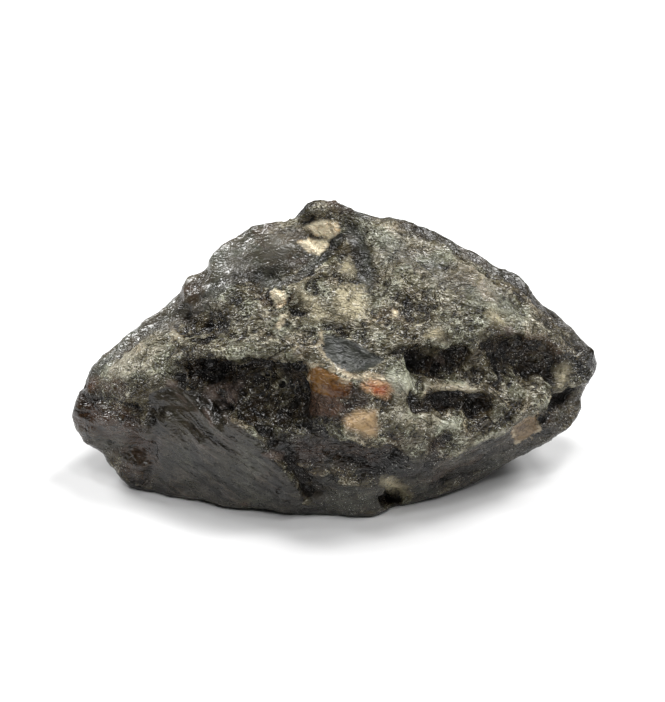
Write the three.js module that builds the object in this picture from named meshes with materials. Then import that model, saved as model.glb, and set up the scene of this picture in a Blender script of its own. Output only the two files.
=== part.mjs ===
// Lunar meteorite: one loose stone of dark feldspathic breccia, 50 mm long, lying on its flattest side.
// Frame: millimetres, +Z up, +X along the longest side, the face with the clasts towards -Y.
// The origin is under the centre of the bounding box, on the plane that the stone rests on.
//
// The stone is made in four steps. Landmarks on its surface are joined by flat faces, as rock breaks.
// A ball of even triangles is drawn onto those faces. Its edges are worn a little, and grooves, dents,
// ribs and a rough skin are raised on it. Last, the underside is made flat and the length is set.
import * as THREE from "three";
import { ConvexHull } from "three/addons/math/ConvexHull.js";
import { ImprovedNoise } from "three/addons/math/ImprovedNoise.js";
import { mergeVertices } from "three/addons/utils/BufferGeometryUtils.js";

// ---------- Driving dimensions ----------
const LENGTH = 50;
const COLOUR = 0x3f3c37;
const MESH_DETAIL = 20;
const MIDDLE = new THREE.Vector3(0, 3, 10.5);
const STRETCH = new THREE.Vector3(27, 15, 15);
const EVENING_ROUNDS = 12;
const EDGE_WEAR = [0.5, -0.25];
const ROUGHNESS = [
  { size: 5.5, height: 0.7 },
  { size: 2.9, height: 0.5 },
  { size: 1.7, height: 0.25 },
];

// ---------- Landmarks: points that the surface passes through, before the roughness is added ----------
const landmarks = {
  // crest
  leftTip: [-26.25, -1.5, 5.25],
  leftTipLow: [-25.5, -2, 4.25],
  leftBrow: [-26, -1, 8],
  leftBrowTop: [-24.75, -0.5, 10.5],
  leftShoulder: [-22.75, 0.5, 12],
  leftRise: [-20.5, 1.5, 14],
  leftRiseMiddle: [-18, 2, 16.25],
  leftRiseTop: [-15.75, 3, 18.25],
  crestSlope: [-13, 4, 20.25],
  crestSlopeTop: [-11, 4.5, 22.5],
  crestBump: [-8, 5, 25],
  crestBumpEnd: [-6, 5.25, 25.25],
  crestNotch: [-4.5, 5.5, 24.25],
  knobLeft: [-3.25, 5, 26.5],
  knobTop: [-1.25, 5, 27],
  knobTopFront: [-1.5, 3.75, 26.5],
  knobRight: [0.75, 5.5, 26.25],
  crestMiddle: [2.25, 6, 25.5],
  crestRight: [5.5, 6.5, 24.5],
  crestRightEnd: [8.5, 7, 23.25],
  crestDip: [11, 7, 21.75],
  crestLow: [14, 6.5, 20.75],
  crestStep: [15.5, 6, 19.75],
  crestStepEnd: [17.75, 5.5, 18.75],
  rightRise: [19.75, 4.5, 16.75],
  rightRiseEnd: [21.5, 4, 15.25],
  rightShoulder: [23.75, 2.5, 13.5],
  rightBrow: [25.5, 1.75, 12.25],
  rightTip: [26, 1, 10.5],
  // lower contour, left to right
  leftUnder: [-23.75, -3, 3.5],
  leftUnderLow: [-21.25, -4.5, 2.75],
  leftFootSide: [-20.75, -5, 0.75],
  leftFoot: [-20.25, -5, -0.75],
  footA: [-15.75, -6.25, -1],
  footB: [-12.25, -7.5, -0.75],
  footC: [-5.75, -9, -0.75],
  footD: [-2.25, -9.5, -0.5],
  footE: [4, -9.5, -0.5],
  footF: [6.5, -8, -0.5],
  footG: [9.25, -6.5, -0.5],
  footH: [12.5, -4.5, -0.75],
  rightUnder: [16.25, -3.5, 1.75],
  rightUnderHigh: [18.25, -4, 4],
  lipUnder: [20.75, -3.5, 4.25],
  lip: [23, -3, 5.75],
  lipEnd: [24.75, -1.25, 7],
  lipNotch: [24.25, 0, 8],
  // upper left face
  slopeLeft: [-19.75, -3.5, 13.5],
  slopeLeftHigh: [-17.75, -1.5, 15],
  slopeDent: [-13.25, -2, 17],
  slopeMiddle: [-10.5, -0.5, 20],
  slopeHigh: [-8.25, 2.5, 22],
  slopeKnobFoot: [-3.5, 0.5, 22.5],
  slopeDeep: [-4.75, -3, 19.25],
  // vug under the knob
  knobFootLeft: [-3.5, 3.25, 24.5],
  knobFootRight: [-0.25, 3.75, 24.5],
  // ledge and the dark hollow under it
  ledgeLeft: [-16.5, -5, 13.75],
  ledgeA: [-13.5, -5.5, 16.25],
  ledgeB: [-10, -7, 16],
  ledgeC: [-7.25, -6.75, 16.5],
  ledgeD: [-3.5, -7, 16.25],
  hollowLeft: [-14.25, -4.5, 13],
  hollowA: [-10.5, -4.5, 13],
  hollowB: [-6, -4.5, 13],
  hollowFloor: [-9.75, -6.25, 11.5],
  hollowFloorRight: [-5.25, -7.75, 11.5],
  pitRim: [-3.25, -8, 13.25],
  // smooth face, its upper edge
  faceCorner: [-15.25, -7, 13.75],
  faceEdgeA: [-12.25, -8.75, 13.5],
  faceEdgeB: [-10, -10, 11.75],
  faceEdgeC: [-7.25, -11, 10],
  faceEdgeD: [-4.75, -11.25, 6.25],
  faceEdgeE: [-2.75, -10.5, 2.25],
  faceHighLeft: [-14, -7, 11.25],
  faceHigh: [-12.75, -7.75, 11],
  faceHighRight: [-11.5, -8.75, 10],
  faceMiddle: [-12.75, -8.75, 7.25],
  faceLeft: [-16.25, -7.25, 6.25],
  faceLow: [-8, -10, 4.5],
  // left lobe and its valley
  lobeBrow: [-22, -4, 10.5],
  lobeBrowRight: [-18.75, -5.5, 11],
  lobe: [-22.25, -5.5, 8],
  lobeRight: [-19.5, -7, 7.25],
  valleyTop: [-17.5, -5.25, 10.25],
  valley: [-17.5, -5.75, 6.25],
  valleyFoot: [-18.25, -5.5, 2],
  lobeFoot: [-19.75, -6.5, 3.5],
  // middle: knob slope, cream clast, slab, amber clast
  middleHigh: [1, 3.5, 23.25],
  middleCream: [-0.5, -2.5, 19.75],
  middleRise: [5.25, -1.75, 19.5],
  slabTop: [0.75, -5, 18.25],
  slabLow: [1.25, -7.75, 16],
  slabRight: [4, -6.5, 15.5],
  amberTop: [-1.75, -7.5, 15.75],
  amberLow: [-1.25, -9.5, 13.25],
  creamRidge: [4.5, -8.5, 14.25],
  tanTop: [1.5, -10.5, 13.25],
  tanLow: [2.5, -11.75, 10.5],
  darkMiddle: [-1.25, -11.25, 10],
  darkLow: [0.5, -10.5, 6],
  bandMiddle: [-0, -10.5, 3.25],
  bandLeft: [-0.5, -10.5, 2.75],
  faceGroove: [-2.25, -9.5, 3.5],
  bandRight: [4.75, -10.5, 5.25],
  pit: [5.5, -8.5, 1.75],
  // right half
  slopeRightHigh: [9, 1.5, 21],
  slopeRight: [12.75, -1, 18.5],
  rimA: [6.5, -5.5, 16.75],
  rimAMiddle: [10.25, -4.5, 16.25],
  hollowADeep: [9.5, -4.75, 13.75],
  hollowALeft: [7.25, -5.5, 14.5],
  hollowARight: [12.75, -4, 13.25],
  rimBLeft: [14.75, -2.75, 16],
  rimB: [17.5, -1.5, 16],
  rimBRight: [20.25, -0.75, 14.5],
  hollowBDeep: [17.75, -1.75, 12.75],
  hollowBLeft: [15.25, -2.75, 13.25],
  hollowBLow: [17.25, -3, 11.25],
  hollowBRight: [20.5, -1.75, 11.25],
  rimBEnd: [21.75, -1.25, 12.75],
  ridgeALeft: [7, -8.5, 14.25],
  ridgeA: [11.25, -7.5, 13.75],
  ridgeARight: [14, -6, 12],
  hollowC: [10.5, -7.5, 11.75],
  hollowCLeft: [7.5, -8.75, 12.5],
  paleZone: [6.5, -10.75, 11.25],
  paleZoneRight: [10.25, -9.25, 10.25],
  hollowBFloor: [17, -5, 11],
  hollowBFloorRight: [20.5, -3.25, 10.5],
  edgeA: [22.75, -2.25, 10.75],
  edgeB: [20.25, -4.5, 10],
  edgeC: [18, -6.25, 9.5],
  edgeD: [14.75, -7.5, 8.25],
  edgeE: [11.25, -9.25, 7.25],
  edgeF: [8, -10.5, 6.25],
  grooveA: [21.75, -2, 8.5],
  grooveB: [18.75, -4, 7],
  grooveC: [15.75, -5, 5.25],
  grooveD: [12.5, -6.25, 4],
  lipFace: [20.75, -3.5, 7.25],
  lowBand: [10, -7.5, 2.75],
  lowBandLeft: [7.25, -8.5, 2.5],
  // back
  backLeftHigh: [-19, 5, 12.25],
  backLeftTop: [-14, 8, 15],
  knobTopBack: [-1, 6.25, 25.75],
  knobBehind: [-1, 8, 24],
  crestBehindLeft: [-8, 8, 21.5],
  crestBehindRight: [6, 9.5, 21.75],
  backCrestLeft: [-8, 10.5, 17.5],
  backCrest: [-1, 12, 18.5],
  backCrestRight: [6, 12.5, 17.5],
  backRightTop: [12, 11.5, 16.5],
  backRightHigh: [18, 8.5, 13],
  backRightEnd: [22, 5, 11],
  backLeft: [-21, 5, 7],
  backLeftMiddle: [-14.5, 10.5, 8],
  backMiddle: [-6, 13.5, 10],
  backMiddleRight: [2.5, 13, 11.5],
  backRight: [9, 14, 8.5],
  backRightLow: [15, 12, 8.5],
  backEnd: [21.5, 7, 6.5],
  backFootLeft: [-18, 6, 1.5],
  backFootLeftMiddle: [-11, 9.5, 0],
  backFoot: [-3, 12, 0.5],
  backFootMiddle: [4, 11.5, 0],
  backFootRight: [10, 11, 0.5],
  backFootEnd: [16, 8, 1.5],
  endFoot: [20.5, 3, 3.5],
  // underside
  baseLeft: [-13, 2, -1.5],
  baseMiddle: [0, 1, -1.5],
  baseRight: [10, 3, -1.5],
};

// ---------- Grooves, dents and ribs: from one end to the other, how wide, and how far out or in ----------
const forms = {
  // upper face
  vug: { from: [-2.5, 3, 24.5], to: [-1.5, 2.5, 23.5], width: 1.5, height: -0.9 },
  knobBrow: { from: [-3.5, 4.5, 25.5], to: [-0.5, 4.5, 26], width: 1.2, height: 0.4 },
  knobCrease: { from: [1, 4, 24.5], to: [-6, 0, 20.5], width: 1.3, height: -0.45 },
  smoothBand: { from: [2.5, 4, 23], to: [3, -1, 20.5], width: 1.6, height: -0.4 },
  leftDent: { from: [-14, -0.5, 17], to: [-12.5, -2.5, 17.5], width: 1.8, height: -0.6 },
  leftDentLow: { from: [-11.5, -3, 17.5], to: [-10, -4, 17.5], width: 1.5, height: -0.45 },
  leftGroove: { from: [-16, 1.5, 17], to: [-17.5, -1.5, 15.5], width: 1.3, height: -0.35 },
  ledgeRib: { from: [-15, -4.5, 15], to: [-10, -7, 16.5], width: 1, height: 0.35 },
  ledgeRibRight: { from: [-9, -6.5, 16.5], to: [-4, -7, 16.5], width: 1, height: 0.35 },
  creamDent: { from: [-4.5, -2, 19.5], to: [-3.5, -3, 19.5], width: 1.2, height: -0.4 },
  slab: { from: [0.5, -5.5, 18], to: [2, -7, 16.5], width: 1.8, height: -0.4 },
  rightRib: { from: [12, 3, 20], to: [15, 0, 18], width: 1.8, height: 0.5 },
  rightGroove: { from: [9.5, 3, 21], to: [12, -1.5, 18.5], width: 1.5, height: -0.4 },
  // hollows of the right half and their rims
  rimARib: { from: [7, -5, 17], to: [10, -4, 17], width: 1.3, height: 0.35 },
  hollowA: { from: [8.5, -4.5, 14], to: [12, -4, 13.5], width: 1.8, height: -0.4 },
  rimBRib: { from: [15, -1, 17], to: [19, -0.5, 16.5], width: 1.2, height: 0.35 },
  hollowB: { from: [16.5, -2.5, 12.5], to: [19.5, -2, 12], width: 2.6, height: -0.5 },
  hollowC: { from: [10, -8, 11.5], to: [13.5, -7, 11], width: 1.4, height: -0.6 },
  paleRib: { from: [8, -10.5, 10.5], to: [12, -9, 9.5], width: 1.3, height: 0.35 },
  // middle and foot
  pits: { from: [-3.5, -8, 13], to: [-3.5, -8.5, 12.5], width: 1.2, height: -0.6 },
  amberHollow: { from: [-1, -9.5, 13.5], to: [1, -10, 13.5], width: 1.2, height: -0.5 },
  tanLump: { from: [2, -11, 12], to: [3, -11, 11.5], width: 1.4, height: 0.4 },
  edgeDent: { from: [-6.5, -10.5, 10], to: [-4.5, -11, 8], width: 1.3, height: -0.5 },
  darkHollow: { from: [-2, -11, 9], to: [0.5, -11, 8.5], width: 1.6, height: -0.7 },
  darkHollowRight: { from: [2, -11, 7.5], to: [5, -10.5, 7], width: 1.5, height: -0.6 },
  footRib: { from: [0, -10.5, 5], to: [4, -10, 4.5], width: 1.3, height: 0.35 },
  footPit: { from: [5.5, -8.5, 2.5], to: [5.5, -8, 1.5], width: 1.3, height: -0.8 },
  footCrack: { from: [7, -9.5, 4.5], to: [9, -9, 4.5], width: 1.1, height: -0.5 },
  // left end
  endRib: { from: [-23, -2, 11.5], to: [-20.5, -3, 12.5], width: 1.4, height: 0.35 },
  lobeCrease: { from: [-25, -3, 9], to: [-20, -5.5, 9.5], width: 0.9, height: -0.4 },
  lobeCreaseLow: { from: [-24.5, -4, 7], to: [-20, -6.5, 7.5], width: 0.9, height: -0.35 },
  // back
  backHollow: { from: [4, 13, 15], to: [6, 13.5, 12], width: 4, height: -1 },
  backHollowLeft: { from: [-13, 9.5, 13], to: [-11, 11, 11], width: 3.2, height: -0.9 },
  backHollowRight: { from: [15, 11, 12], to: [16, 10.5, 9], width: 2.8, height: -0.8 },
  backRib: { from: [-4, 12.5, 15], to: [2, 13, 6], width: 2, height: 0.5 },
  backRibRight: { from: [12, 11, 14], to: [9, 13, 5], width: 1.6, height: 0.4 },
  backCrack: { from: [-15, 9, 6], to: [-6, 13.5, 7], width: 1, height: -0.5 },
  backEndDent: { from: [-21, 4, 9], to: [-19, 6, 9], width: 2.4, height: -0.6 },
};

// places where the surface is smooth, and how much of the roughness is left there
const smoothPlaces = {
  lowerLeftFace: { at: [-12, -9, 7], width: 8, left: 0.15 },
  slab: { at: [1.5, -6.5, 17], width: 2.4, left: 0.3 },
};

// ---------- Faces: every landmark is joined to its neighbours, as seen from the middle ----------
const vector = (place) => new THREE.Vector3(...place);
const corners = Object.values(landmarks).map(vector);

function facesBetween(points) {
  const pointAlong = new Map();
  const directions = points.map((point) => {
    const direction = point.clone().sub(MIDDLE).normalize();
    pointAlong.set(direction, point);
    return direction;
  });
  const hull = new ConvexHull().setFromPoints(directions);
  return hull.faces.map((face) => {
    const { edge } = face;
    return [edge, edge.next, edge.next.next].map((e) => pointAlong.get(e.head().point));
  });
}

const faces = facesBetween(corners);

function reach(direction) {
  const ray = new THREE.Ray(MIDDLE, direction);
  const hit = new THREE.Vector3();
  const crossed = faces.find(([a, b, c]) => ray.intersectTriangle(a, b, c, false, hit));
  return crossed ? hit.distanceTo(MIDDLE) : null;
}

// A ray that slips between two faces is tilted a hair and tried again.
function onFaces(p) {
  const direction = p.clone().sub(MIDDLE).normalize();
  const tilted = direction.clone().addScalar(1e-5).normalize();
  return direction.multiplyScalar(reach(direction) ?? reach(tilted)).add(MIDDLE);
}

// ---------- Skin: grooves, dents, ribs and roughness, as heights along the surface normal ----------
const noise = new ImprovedNoise();

function fade(distance, width) {
  const share = Math.min(distance / width, 1);
  return (1 - share * share) ** 2;
}

const strokes = Object.values(forms).map(({ from, to, width, height }) => ({
  line: new THREE.Line3(vector(from), vector(to)),
  width: 1.6 * width,
  height,
}));

function formHeight(p) {
  const nearest = new THREE.Vector3();
  let sum = 0;
  for (const { line, width, height } of strokes) {
    line.closestPointToPoint(p, true, nearest);
    sum += height * fade(nearest.distanceTo(p), width);
  }
  return sum;
}

function roughHeight(p) {
  let left = 1;
  for (const place of Object.values(smoothPlaces)) {
    left *= 1 - (1 - place.left) * fade(vector(place.at).distanceTo(p), place.width);
  }
  let sum = 0;
  for (const { size, height } of ROUGHNESS) {
    const n = noise.noise(p.x / size + 7, p.y / size + 3, p.z / size + 5);
    sum += height * (0.3 - 1.4 * Math.abs(n));
  }
  return left * sum;
}

// ---------- Mesh ----------
function evenBall() {
  const ball = new THREE.IcosahedronGeometry(1, MESH_DETAIL);
  ball.deleteAttribute("normal");
  ball.deleteAttribute("uv");
  return mergeVertices(ball, 1e-4);
}

function neighboursOf(geometry) {
  const index = geometry.index.array;
  const neighbours = Array.from({ length: geometry.attributes.position.count }, () => new Set());
  for (let i = 0; i < index.length; i += 3) {
    for (let k = 0; k < 3; k++) neighbours[index[i + k]].add(index[i + ((k + 1) % 3)]);
  }
  return neighbours;
}

function nearestTo(corner, places) {
  const distances = places.map((p) => p.distanceToSquared(corner));
  return distances.indexOf(Math.min(...distances));
}

function stoneGeometry() {
  const geometry = evenBall();
  const { position } = geometry.attributes;
  const neighbours = neighboursOf(geometry);
  let places = neighbours.map((_, i) => {
    const direction = new THREE.Vector3().fromBufferAttribute(position, i).multiply(STRETCH);
    return onFaces(direction.add(MIDDLE));
  });

  // The vertex nearest each landmark is pinned to it, and the others are spread evenly between them.
  const pins = new Map(corners.map((corner) => [nearestTo(corner, places), corner]));
  const towardsNeighbours = (p, i, amount) => {
    const mean = new THREE.Vector3();
    for (const n of neighbours[i]) mean.add(places[n]);
    return p.clone().lerp(mean.divideScalar(neighbours[i].size), amount);
  };
  for (let round = 0; round < EVENING_ROUNDS; round++) {
    places = places.map((p, i) => pins.get(i) ?? onFaces(towardsNeighbours(p, i, 0.6)));
  }
  for (const amount of EDGE_WEAR) {
    places = places.map((p, i) => towardsNeighbours(p, i, amount));
  }

  places.forEach((p, i) => position.setXYZ(i, ...p));
  geometry.computeVertexNormals();
  const normals = geometry.attributes.normal;
  places.forEach((p, i) => {
    const normal = new THREE.Vector3().fromBufferAttribute(normals, i);
    p.addScaledVector(normal, formHeight(p) + roughHeight(p));
    position.setXYZ(i, p.x, p.y, Math.max(p.z, 0));
  });
  return geometry;
}

// The finished stone is centred over the origin and brought to its length.
function finished(geometry) {
  geometry.computeBoundingBox();
  const { min, max } = geometry.boundingBox;
  const scale = LENGTH / (max.x - min.x);
  geometry.translate(-(min.x + max.x) / 2, -(min.y + max.y) / 2, 0);
  geometry.scale(scale, scale, scale);
  geometry.computeVertexNormals();
  return geometry;
}

const material = new THREE.MeshStandardMaterial({ color: COLOUR, roughness: 0.45, metalness: 0 });
const meteorite = new THREE.Mesh(finished(stoneGeometry()), material);
meteorite.name = "meteorite";

const group = new THREE.Group();
group.add(meteorite);
export default group;
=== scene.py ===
# %% [markdown]
# # Lunar meteorite
# A loose stone of dark breccia from the Moon, 50 mm long: old crust, broken and welded again by
# impacts. Pale feldspar, amber glass and tan clasts sit in a dark, fine-grained matrix, and the
# outside is worn glossy on its ridges. The solid model gives the stone's size and main form. This
# script gives it a fine surface, its colours and gloss, and sets it under soft light.

# %% Load the frame
import math

import bmesh
import bpy
import numpy as np
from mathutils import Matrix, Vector, noise


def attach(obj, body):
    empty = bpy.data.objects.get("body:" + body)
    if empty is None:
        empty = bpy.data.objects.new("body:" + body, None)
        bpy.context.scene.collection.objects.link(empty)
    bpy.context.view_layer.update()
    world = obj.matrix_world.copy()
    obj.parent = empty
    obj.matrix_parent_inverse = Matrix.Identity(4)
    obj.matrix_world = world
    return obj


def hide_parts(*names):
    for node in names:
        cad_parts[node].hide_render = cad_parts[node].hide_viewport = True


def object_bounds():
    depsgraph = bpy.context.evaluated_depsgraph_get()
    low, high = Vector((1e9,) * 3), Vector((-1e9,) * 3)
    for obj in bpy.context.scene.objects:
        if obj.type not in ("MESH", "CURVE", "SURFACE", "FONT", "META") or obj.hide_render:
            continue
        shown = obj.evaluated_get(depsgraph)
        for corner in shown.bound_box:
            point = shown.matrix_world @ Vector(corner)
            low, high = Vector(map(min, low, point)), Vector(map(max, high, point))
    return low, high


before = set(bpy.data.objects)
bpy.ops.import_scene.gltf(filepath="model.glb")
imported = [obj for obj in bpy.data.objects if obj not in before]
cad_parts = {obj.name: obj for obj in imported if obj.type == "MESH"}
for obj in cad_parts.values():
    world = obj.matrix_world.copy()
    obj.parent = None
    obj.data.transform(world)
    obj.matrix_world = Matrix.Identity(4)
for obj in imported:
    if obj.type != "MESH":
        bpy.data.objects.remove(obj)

# Without a seed of its own the noise that bends lines and scoops starts differently in each run.
WAVER_SEED = 8
noise.seed_set(WAVER_SEED)
scene = bpy.context.scene
solid_box = [list(corner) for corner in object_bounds()]
print("solid box, mm:", np.round(np.array(solid_box) * 1000, 2).tolist())

# %% [markdown]
# ## Camera, floor and light
# The stone is seen from its best side, a little from above, through a long lens, as small things
# are usually taken. A white floor throws light back up at the undersides, which is why they read
# as an even grey and not as black. Two broad lamps behind the stone rake over its crest and slopes
# and give them their sheen, a weaker one high in front keeps the lower faces open, and two on the
# right round off the form. The two smallest make single grains sparkle.

# %% Camera
CAMERA_LOOKS_AT = Vector((-0.0002, -0.002, 0.0132))
CAMERA_DISTANCE = 0.1823
CAMERA_ELEVATION = math.radians(30)
LENS_MM = 100
NEAREST_SEEN = 0.01

camera_data = bpy.data.cameras.new("camera")
camera_data.lens = LENS_MM
camera_data.clip_start = NEAREST_SEEN
camera = bpy.data.objects.new("camera", camera_data)
scene.collection.objects.link(camera)
towards_camera = Vector((0, -math.cos(CAMERA_ELEVATION), math.sin(CAMERA_ELEVATION)))
camera.location = CAMERA_LOOKS_AT + CAMERA_DISTANCE * towards_camera
camera.rotation_euler = towards_camera.to_track_quat("Z", "Y").to_euler()
scene.camera = camera
print("camera at", [round(c, 4) for c in camera.location])

# %% Floor
FLOOR_HALF_SIZE = 0.6
FLOOR_WHITE = (0.86, 0.86, 0.86, 1)
FLOOR_ROUGHNESS, FLOOR_SPECULAR = 0.9, 0.1

floor_mesh = bpy.data.meshes.new("floor")
floor_corners = [(-1, -1, 0), (1, -1, 0), (1, 1, 0), (-1, 1, 0)]
floor_mesh.from_pydata([Vector(c) * FLOOR_HALF_SIZE for c in floor_corners], [], [(0, 1, 2, 3)])
floor = bpy.data.objects.new("floor", floor_mesh)
scene.collection.objects.link(floor)
floor_paint = bpy.data.materials.new("floor_paint")
floor_paint.use_nodes = True
floor_shader = floor_paint.node_tree.nodes["Principled BSDF"]
floor_shader.inputs["Base Color"].default_value = FLOOR_WHITE
floor_shader.inputs["Roughness"].default_value = FLOOR_ROUGHNESS
floor_shader.inputs["Specular IOR Level"].default_value = FLOOR_SPECULAR
floor_mesh.materials.append(floor_paint)
print("floor:", 2 * FLOOR_HALF_SIZE, "m wide")

# %% Light
LAMPS_POINT_AT = Vector((0, 0, 0.012))
LAMPS = {
    # name: place and size in metres, power in watts
    "behind on the left": ((-0.4, 0.3, 0.44), 0.22, 3.3),
    "behind on the right": ((0.4, 0.3, 0.44), 0.22, 2.3),
    "in front, high": ((0, -0.3, 0.64), 0.25, 1.4),
    "on the right": ((0.5, -0.1, 0.48), 0.25, 0.45),
    "overhead on the right": ((0.26, 0.12, 0.64), 0.16, 1.9),
    "sparkle on the right": ((0.1, -0.12, 0.6), 0.06, 0.5),
    "sparkle on the left": ((-0.16, 0.06, 0.6), 0.06, 0.4),
}
SKY_STRENGTH = 0.03


def soft_lamp(name, place, size, power):
    """A square lamp, turned to the middle of the stone."""
    lamp_data = bpy.data.lights.new(name, "AREA")
    lamp_data.size = size
    lamp_data.energy = power
    lamp = bpy.data.objects.new(name, lamp_data)
    lamp.location = place
    towards_stone = LAMPS_POINT_AT - lamp.location
    lamp.rotation_euler = towards_stone.to_track_quat("-Z", "Y").to_euler()
    scene.collection.objects.link(lamp)


for name, (place, size, power) in LAMPS.items():
    soft_lamp(name, place, size, power)

sky = bpy.data.worlds.new("sky")
sky.use_nodes = True
sky.node_tree.nodes["Background"].inputs["Strength"].default_value = SKY_STRENGTH
sky.node_tree.nodes["Background"].inputs["Color"].default_value = (1, 1, 1, 1)
scene.world = sky
scene.view_settings.view_transform = "Standard"
print("lamps:", len(LAMPS))

# %% [markdown]
# ## A fine skin over the solid
# The solid has triangles of about a millimetre, which is enough for its ledges and hollows but not
# for the skin of a stone. A voxel remesh lays an even net of small squares over it, and a few
# rounds of smoothing take the flat triangles away. From here on all heights are worked out with
# arrays, in millimetres, because that is fast and each step can be measured.

# %% Even net
NET_SIZE = 0.00022
SMOOTHING_ROUNDS = 7
WELD_DISTANCE = 1e-6

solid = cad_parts["meteorite"]
skin_mesh = solid.data.copy()
welding = bmesh.new()
welding.from_mesh(skin_mesh)
bmesh.ops.remove_doubles(welding, verts=welding.verts, dist=WELD_DISTANCE)
welding.to_mesh(skin_mesh)
welding.free()
stone = bpy.data.objects.new("stone", skin_mesh)
scene.collection.objects.link(stone)
net = stone.modifiers.new("net", "REMESH")
net.mode = "VOXEL"
net.voxel_size = NET_SIZE
evaluated = stone.evaluated_get(bpy.context.evaluated_depsgraph_get())
stone.data = bpy.data.meshes.new_from_object(evaluated)
stone.modifiers.clear()
stone.data.name = "stone"
stone.data.materials.clear()
print("net:", len(stone.data.vertices), "points,", len(stone.data.polygons), "squares")

# %% Working arrays
MM_IN_A_METRE = 1000


def read_points(mesh):
    """Every point of the mesh, in millimetres."""
    flat = np.empty(len(mesh.vertices) * 3)
    mesh.vertices.foreach_get("co", flat)
    return flat.reshape(-1, 3) * MM_IN_A_METRE


def write_points(mesh, points):
    mesh.vertices.foreach_set("co", (points / MM_IN_A_METRE).ravel())
    mesh.update()


def read_normals(mesh):
    flat = np.empty(len(mesh.vertices) * 3)
    mesh.vertex_normals.foreach_get("vector", flat)
    return flat.reshape(-1, 3)


edge_ends = np.empty(len(stone.data.edges) * 2, dtype=np.int32)
stone.data.edges.foreach_get("vertices", edge_ends)
edge_ends = edge_ends.reshape(-1, 2)
edges_at = np.bincount(edge_ends.ravel(), minlength=len(stone.data.vertices))


def spread(values, rounds, amount=0.5):
    """Evens values out between neighbouring points, as heat spreads."""
    values = values.copy()
    for _ in range(rounds):
        for column in range(values.shape[1]):
            v = values[:, column]
            total = np.bincount(edge_ends[:, 0], v[edge_ends[:, 1]], len(v))
            total += np.bincount(edge_ends[:, 1], v[edge_ends[:, 0]], len(v))
            values[:, column] = v + amount * (total / edges_at - v)
    return values


points = spread(read_points(stone.data), SMOOTHING_ROUNDS)
write_points(stone.data, points)
print("smoothed box, mm:", points.min(0).round(2).tolist(), points.max(0).round(2).tolist())

# %% [markdown]
# ## A map for baked pictures
# The colours here come from nodes, but other programs need a picture wrapped on the stone. The
# wrapping is unfolded now, while the skin is still smooth, because a rough skin unfolds into
# thousands of scraps.

# %% Unfold
FOLD_ANGLE = math.radians(66)
SCRAP_MARGIN = 0.003

scene.view_layers[0].objects.active = stone
stone.select_set(True)
bpy.ops.object.mode_set(mode="EDIT")
bpy.ops.mesh.select_all(action="SELECT")
bpy.ops.uv.smart_project(angle_limit=FOLD_ANGLE, island_margin=SCRAP_MARGIN)
bpy.ops.object.mode_set(mode="OBJECT")
stone.data.uv_layers[0].name = "OFBake"
print("unfolded as", stone.data.uv_layers[0].name)

# %% [markdown]
# ## Strokes and outlines
# Most of what makes this stone itself runs along lines or fills small areas: worn ledges, cracks,
# the edge of a broken face, single clasts. A line is given by a few points on the stone, in
# millimetres, and an area by its corners. An area counts as a block that goes straight into the
# stone, so its outline stays true on the uneven skin.

# %% Distance helpers
BLOCK_DEPTH_MM = 2.5
# Keep the divisions safe where two points of a path coincide or two corners lie level.
SHORTEST_STRETCH, LEAST_RISE = 1e-9, 1e-12


def path_distance(points, path):
    """Distance from every point to a path of straight stretches, in millimetres."""
    path = np.array(path, dtype=float)
    nearest = np.full(len(points), np.inf)
    ends = zip(path[:-1], path[1:]) if len(path) > 1 else [(path[0], path[0])]
    for start, end in ends:
        along = end - start
        share = np.clip((points - start) @ along / max(along @ along, SHORTEST_STRETCH), 0, 1)
        gap = np.linalg.norm(points - (start + share[:, None] * along), axis=1)
        nearest = np.minimum(nearest, gap)
    return nearest


def flat_distance(places, corners):
    """Distance to the edge of a flat outline: below 0 inside it, above 0 outside."""
    gap = np.full(len(places), np.inf)
    inside = np.zeros(len(places), dtype=bool)
    x, y = places.T
    for (ax, ay), (bx, by) in zip(corners, np.roll(corners, -1, axis=0)):
        along = np.array([bx - ax, by - ay])
        share = np.clip(((x - ax) * along[0] + (y - ay) * along[1]) / (along @ along), 0, 1)
        gap = np.minimum(gap, np.hypot(x - ax - share * along[0], y - ay - share * along[1]))
        crosses = (ay > y) != (by > y)
        inside ^= crosses & (x < (bx - ax) * (y - ay) / (by - ay + LEAST_RISE) + ax)
    return np.where(inside, -gap, gap)


def block_distance(points, corners):
    """Distance from every point to the block under an outline, in millimetres."""
    corners = np.array(corners, dtype=float)
    middle = corners.mean(0)
    across, up, through = np.linalg.svd(corners - middle)[2]
    away = points - middle
    places = np.stack([away @ across, away @ up], axis=1)
    flat_corners = np.stack([(corners - middle) @ across, (corners - middle) @ up], axis=1)
    return np.maximum(flat_distance(places, flat_corners), abs(away @ through) - BLOCK_DEPTH_MM)


def fade(distance, width):
    """1 on the line, 0 from the width outwards, smooth between."""
    share = np.clip(distance / width, 0, 1)
    return (1 - share**2) ** 2


def wavering(points, size, amount):
    """The points moved about a little, so that a stroke drawn through them isn't ruler-straight."""
    shifts = [noise.noise_vector(Vector(p) / size) for p in points]
    return points + amount * np.array([tuple(s) for s in shifts])


def rising(values, start, full):
    """0 up to the start, 1 from full on, straight between; full may also lie below the start."""
    return np.clip((values - start) / (full - start), 0, 1)


def painted(points, strokes):
    """Adds up soft strokes into one number for each point, 0 to 1."""
    total = np.zeros(len(points))
    for path, width, amount in strokes.values():
        total += amount * fade(path_distance(points, path), width)
    return np.clip(total, 0, 1)


print("an area reaches", BLOCK_DEPTH_MM, "mm into the stone")

# %% [markdown]
# ## Relief
# Broken rock isn't soft noise: it breaks in shallow scoops that meet in sharp ridges. Each scoop is
# a bowl round its own centre with a tilt of its own, and the lowest bowl wins at every point. Three
# sizes of scoops, fine grain, and the named strokes are added up as one height along the normal.
# Worn faces keep only a little of the scoops.

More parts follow.
